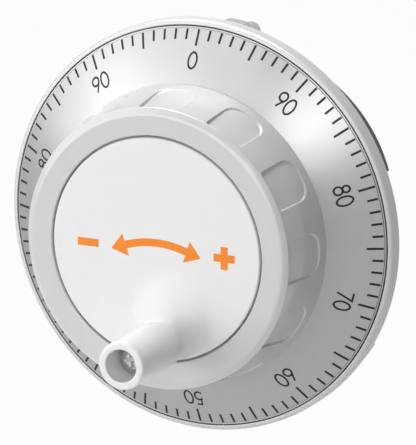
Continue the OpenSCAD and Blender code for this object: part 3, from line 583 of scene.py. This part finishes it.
# Turns of the columns, from the middle of a flute: even ones, which the front shares, and
# close-set ones at the flute's rims and rounded corners. Rows are close at foot and head.
flute_pitch, flute_half = 2 * math.pi / flute_count, flute_w / 2 / knob_front_r
even_columns, least_gap = 24, 0.0005
even = [flute_pitch * (k / even_columns - 0.5) for k in range(even_columns)]
close_set = spaced(flute_half - 0.15 / knob_front_r, step=0.025 / knob_front_r, count=13)
close_set += spaced(flute_half - 0.22 / knob_front_r, step=-0.2 / knob_front_r, count=16)
both_sides = [side * turn for side in (-1, 1) for turn in close_set]
columns = sorted(even + [turn for turn in both_sides
                         if min(abs(turn - other) for other in even) > least_gap])
foot_lead, foot_reach, head_reach, middle_rows = 0.3, 3.5, 1.2, 10
middle_low, middle_high = flute_low + foot_reach, flute_high - head_reach
rows = [knob_foot + foot_gap, knob_foot + foot_margin / 2]
rows += spaced(flute_low - foot_lead, step=0.06, count=60)
rows += spaced(middle_low, (middle_high - middle_low) / middle_rows, middle_rows)
rows += spaced(middle_high, step=0.08, count=17) + [shoulder]

knob_profile = [(corner_r + corner_roll * math.sin(math.radians(tilt)),
                 corner_z + corner_roll * math.cos(math.radians(tilt)))
                for tilt in corner_tilts]
knob_profile += rounded([(corner_r, corner_z + corner_roll), (ridge_r, ridge_h, ridge_roll),
                         (crease_r, knob_top)], 6)[1:]
knob_profile.append((crease_r - crease_w, knob_top))
knob_profile += rounded([(recess_r + 1, knob_top), (recess_r, knob_top, recess_roll),
                         (recess_r, knob_top - recess_depth)], 3)[1:]
knob_profile += [(web_r, knob_top - recess_depth), (web_r, knob_foot + foot_gap)]


def round_the_knob(turns, radius, height):
    """A ring of points at those turns of every flute; radius is a function of the turn."""
    return [(radius(c) * math.sin(i * flute_pitch + c), radius(c) * math.cos(i * flute_pitch + c),
             height) for i in range(flute_count) for c in turns]


def seam(close_first, wide_first):
    """Faces that close the gap between a closely and an evenly divided ring."""
    count, faces = flute_count * len(columns), []
    corners = [i for i in range(count) if columns[i % len(columns)] in even]
    for k, here in enumerate(corners):
        following = corners[(k + 1) % len(corners)]
        run = [close_first + (here + step) % count for step in range((following - here) % count + 1)]
        faces.append((*run, wide_first + (k + 1) % len(corners), wide_first + k))
    return faces


side_rings = [round_the_knob(columns, lambda c: knob_side(z) - flute_cut(c * knob_front_r, z), z)
              for z in rows]
front_rings = [round_the_knob(even, lambda c: r, z) for r, z in knob_profile[1:]]
front_first = len(side_rings) * len(side_rings[0])
knob_faces = skin(side_rings) + skin(front_rings, front_first)
knob_faces += seam(front_first - len(side_rings[0]), front_first)
knob_faces += seam(0, front_first + (len(front_rings) - 1) * len(front_rings[0]))
knob = solid("knob_shell", side_rings + front_rings, knob_faces, silver_plastic(), sharp=50)
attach(knob, "wheel")
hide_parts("knob")

# ---- centre cap --------------------------------------------------------------
# A white moulded disc on three steel pins, set into the knob's face with a thin shadow
# gap round it. A mound rises from it, off centre, over the brass insert that carries the
# crank, and the two meet in one skin.

cap_r, cap_t, cap_roll = half_width("centre_cap"), 2, 0.3
seat_h, seat_r = front("centre_cap"), 3.9
grip_low, grip_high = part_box("crank_grip")
grip_x, grip_y = (grip_low.x + grip_high.x) / 2 / MM, (grip_low.z + grip_high.z) / 2 / MM
crank_turn, crank_reach = math.atan2(grip_x, grip_y), math.hypot(grip_x, grip_y)
mound_r, mound_lean, mound_margin = 9.1, math.radians(7), 0.35
mound_turn, mound_reach = crank_turn - mound_lean, cap_r - mound_margin - mound_r


def white_plastic(name, colour, roughness, gloss=0.5):
    """White moulded plastic, very slightly uneven in gloss."""
    made = Finish(name, colour, roughness, Specular_IOR_Level=gloss)
    made.feed("Base Color", made.place.noise(0.15).tint([c * 0.985 for c in colour], colour))
    made.feed("Roughness", roughness - 0.03 + 0.07 * made.place.noise(2.0, detail=3.0))
    made.feed("Normal", made.place.noise(8.0, detail=3.0).bump(0.0015))
    return made.material


def cap_ring(turn, reach, radius, height, sides=192):
    """A circle of points off the wheel's axis, at a height."""
    return [(reach * math.sin(turn) + radius * math.sin(2 * math.pi * i / sides),
             reach * math.cos(turn) + radius * math.cos(2 * math.pi * i / sides), height)
            for i in range(sides)]


def between(one, other, share, height):
    """A ring of points part of the way from one ring to another, at a height."""
    return [(a[0] + (b[0] - a[0]) * share, a[1] + (b[1] - a[1]) * share, height)
            for a, b in zip(one, other)]


mound_foot = cap_ring(mound_turn, mound_reach, mound_r, knob_top)
mound_seat = cap_ring(crank_turn, crank_reach, seat_r, seat_h)
cap_rings = [cap_ring(0, 0, p.x, p.y) for p in
             rounded([(cap_r, knob_top - cap_t), (cap_r, knob_top, cap_roll),
                      (cap_r - 1, knob_top)], 5)[:-1]]
cap_rings += [between(mound_foot, mound_seat, math.sin(math.radians(swing)),
                      knob_top + (seat_h - knob_top) * (1 - math.cos(math.radians(swing))))
              for swing in range(0, 91, 3)]
cap = solid("cap_and_mound", cap_rings, skin(cap_rings) + ends(cap_rings),
            white_plastic("cap_white_plastic", (0.86, 0.86, 0.855), 0.42), sharp=40)
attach(cap, "wheel")
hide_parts("centre_cap")

# The direction marks are printed in orange: a bowed arrow between a minus and a plus.
bow_r, bow_low, bow_half, mark_pen = 19.5, -18.2, 19, 1.5
head_w, head_l, head_blunt, head_foot = 4.4, 3.1, 0.03, 0.01
sign_x, sign_half, sign_turn = 14.2, 2.2, 22
sign_y = bow_low + bow_r * math.cos(math.radians(sign_turn))
bow = arc(0, bow_low, bow_r, bow_r, 90 - bow_half, 90 + bow_half, 24)


def arrowhead(end, before):
    """The two edges of an arrowhead, from the end of a shaft to a blunt tip."""
    way = (Vector(end) - Vector(before)).normalized()
    side = Vector((-way.y, way.x))
    return [[Vector(end) + way * reach + side * wide * sign for reach, wide in
             ((0, mark_pen / 2), (head_foot, head_w / 2), (head_l, head_blunt))]
            for sign in (1, -1)]


first_head, last_head = arrowhead(bow[0], bow[1]), arrowhead(bow[-1], bow[-2])
bow_edges = stroke(bow, mark_pen)
signs = [[first_head[1 - i][::-1] + bow_edges[i][1:-1] + last_head[i] for i in range(2)]]
for line in ([(-sign_x - sign_half, sign_y), (-sign_x + sign_half, sign_y)],
             [(sign_x - sign_half, sign_y), (sign_x + sign_half, sign_y)],
             [(sign_x, sign_y - sign_half), (sign_x, sign_y - mark_pen / 2)],
             [(sign_x, sign_y + mark_pen / 2), (sign_x, sign_y + sign_half)]):
    signs.append(stroke(line, mark_pen))
cap_marks = printed("cap_direction_marks",
                    [[[Vector((*point, knob_top)) for point in edge] for edge in sign]
                     for sign in signs],
                    ink("cap_orange_ink", (0.9, 0.25, 0.02), 0.45))
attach(cap_marks, "wheel")
dress(ground_steel, "cap_pins")
dress(turned_brass, "crank_insert")

# ---- crank grip --------------------------------------------------------------
# A white glossy grip, drawn in to a waist below a collar at its open front. It turns
# on a shouldered steel screw whose head shows at the bottom of the bore, over a thin
# acetal washer.

grip_r = (grip_high.x - grip_low.x) / 2 / MM
grip_front, grip_foot = -grip_low.y / MM, -grip_high.y / MM
foot_r, middle_r, waist_r, collar_r = grip_r - 0.15, grip_r - 0.1, grip_r - 0.45, grip_r - 0.05
belly_h, middle_h, waist_l, collar_l = 3, 7.2, 2.0, 1.35
bore_r, bore_depth, screw_r = 3.15, 6.5, 2.05
grip = turned("grip_sleeve", [
    (screw_r, grip_foot), (foot_r, grip_foot, 0.3), (grip_r, grip_foot + belly_h, 1.5),
    (middle_r, grip_foot + middle_h, 3), (waist_r, grip_front - waist_l, 0.25),
    (collar_r, grip_front - collar_l, 0.2), (collar_r, grip_front, 0.5),
    (bore_r, grip_front, 0.25), (bore_r, grip_front - bore_depth, 0.2),
    (screw_r, grip_front - bore_depth)],
    white_plastic("grip_white_plastic", (0.88, 0.88, 0.875), 0.25, gloss=0.6),
    centre=(grip_x, grip_y), sides=128)
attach(grip, "grip")
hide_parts("crank_grip")
natural_acetal = stock("natural_acetal", (0.8, 0.8, 0.76), 0.45, metallic=0.0, spread=0.03)
dress(ground_steel, "crank_spindle")
dress(natural_acetal, "grip_washer")

# ---- detent ------------------------------------------------------------------
# An acetal wheel on the shaft clicks past a brass plunger in a black moulded block. The
# plunger's spring, of round steel wire, is held by a set screw at its far end. The real
# spring shortens a little each time the plunger climbs a tooth; here the coil is built at
# full length only, and the share it would shorten by is worked out but not used.

housing_black = stock("housing_black", (0.045, 0.045, 0.05), 0.5, metallic=0.0, spread=0.15,
                      grain=5.0, depth=0.012)
black_steel = stock("black_steel", (0.05, 0.05, 0.055), 0.45, metallic=0.6, spread=0.2)
dress(natural_acetal, "detent_wheel")
dress(housing_black, "detent_block")
dress(zinc_plate, "detent_block_screws")
dress(turned_brass, "detent_plunger")
dress(black_steel, "detent_set_screw")

spring_low, spring_high = [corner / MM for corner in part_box("detent_spring")]
spring_middle = (spring_low + spring_high) / 2
wire_r, spring_turns, wire_steps, wire_sides = 0.2, 5, 40, 12
coil_r = spring_high.x - spring_middle.x - wire_r
coil_rise = spring_high.z - spring_low.z - 2 * wire_r
coil_rings = []
for step in range(spring_turns * wire_steps + 1):
    turn, height = 2 * math.pi * step / wire_steps, coil_rise * step / spring_turns / wire_steps
    ring = []
    for side in range(wire_sides):
        lean = 2 * math.pi * side / wire_sides
        reach = coil_r + wire_r * math.cos(lean)
        ring.append((spring_middle.x + reach * math.cos(turn),
                     spring_low.z + wire_r + height + wire_r * math.sin(lean),
                     -spring_middle.y - reach * math.sin(turn)))
    coil_rings.append(ring)
spring = solid("detent_coil", coil_rings, skin(coil_rings) + ends(coil_rings), spring_steel, sharp=60)
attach(spring, "housing")
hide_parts("detent_spring")
screw_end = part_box("detent_set_screw")[1].z
plunger_travel = next(joint["range_m"][1] for joint in frame["joints"]
                      if joint["name"] == "plunger_lift")
spring_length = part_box("detent_spring")[1].z - screw_end
1 - plunger_travel / spring_length
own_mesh(spring)

# ---- board and encoder -------------------------------------------------------
# A lacquered board stands on three brass pillars behind the detent. The slotted steel
# code disc, clamped on a ground hub, runs through the fork of the board's optical sensor.

board_lacquer = stock("board_lacquer", (0.03, 0.16, 0.09), 0.35, metallic=0.0, spread=0.15,
                      grain=2.0)
chip_epoxy = stock("chip_epoxy", (0.03, 0.03, 0.032), 0.6, metallic=0.0, spread=0.2, grain=6.0)
ceramic = stock("capacitor_ceramic", (0.45, 0.33, 0.18), 0.5, metallic=0.0, spread=0.1)
lens_red = stock("lens_red", (0.25, 0.02, 0.02), 0.1, metallic=0.0, spread=0.1)
dress(turned_brass, "board_standoffs")
dress(board_lacquer, "circuit_board")
dress(zinc_plate, "board_screws")
dress(chip_epoxy, "signal_chip", "sensor_block")
dress(lens_red, "sensor_lens")
dress(ceramic, "board_capacitors")
dress(ground_steel, "code_disc_hub", "code_disc_clamp")
dress(black_steel, "code_disc", "sensor_mask", "code_hub_set_screw")

# ---- terminals ---------------------------------------------------------------
# A black moulded block at the board's edge holds four brass clamps with plated screws,
# which the wires reach through the bay in the housing's side.

dress(housing_black, "terminal_block")
dress(turned_brass, "terminal_clamps")
dress(zinc_plate, "terminal_screws")

# ---- rear housing ------------------------------------------------------------
# A black glass-filled moulding that closes the back, held by three long screws. Its rear
# corner is left almost sharp, and the corner's ring stops at the terminal bay.

dress(housing_black, "rear_housing")
dress(zinc_plate, "rear_housing_screws")
housing_back = -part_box("rear_housing")[1].y / MM
bay_w = 16.8
bay_half = math.degrees(math.asin(bay_w / 2 / housing_r))
corner_w, corner_h, corner_t, corner_fillet = 1, 0.9, 0.1, 0.2
corner_ring = turned("housing_corner", [
    (housing_r - corner_w, housing_back), (housing_r, housing_back, corner_fillet),
    (housing_r, housing_back + corner_h), (housing_r - corner_t, housing_back + corner_h),
    (housing_r - corner_w, housing_back + corner_t)],
    housing_black, sweep=(90 + bay_half, 450 - bay_half))
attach(corner_ring, "housing")
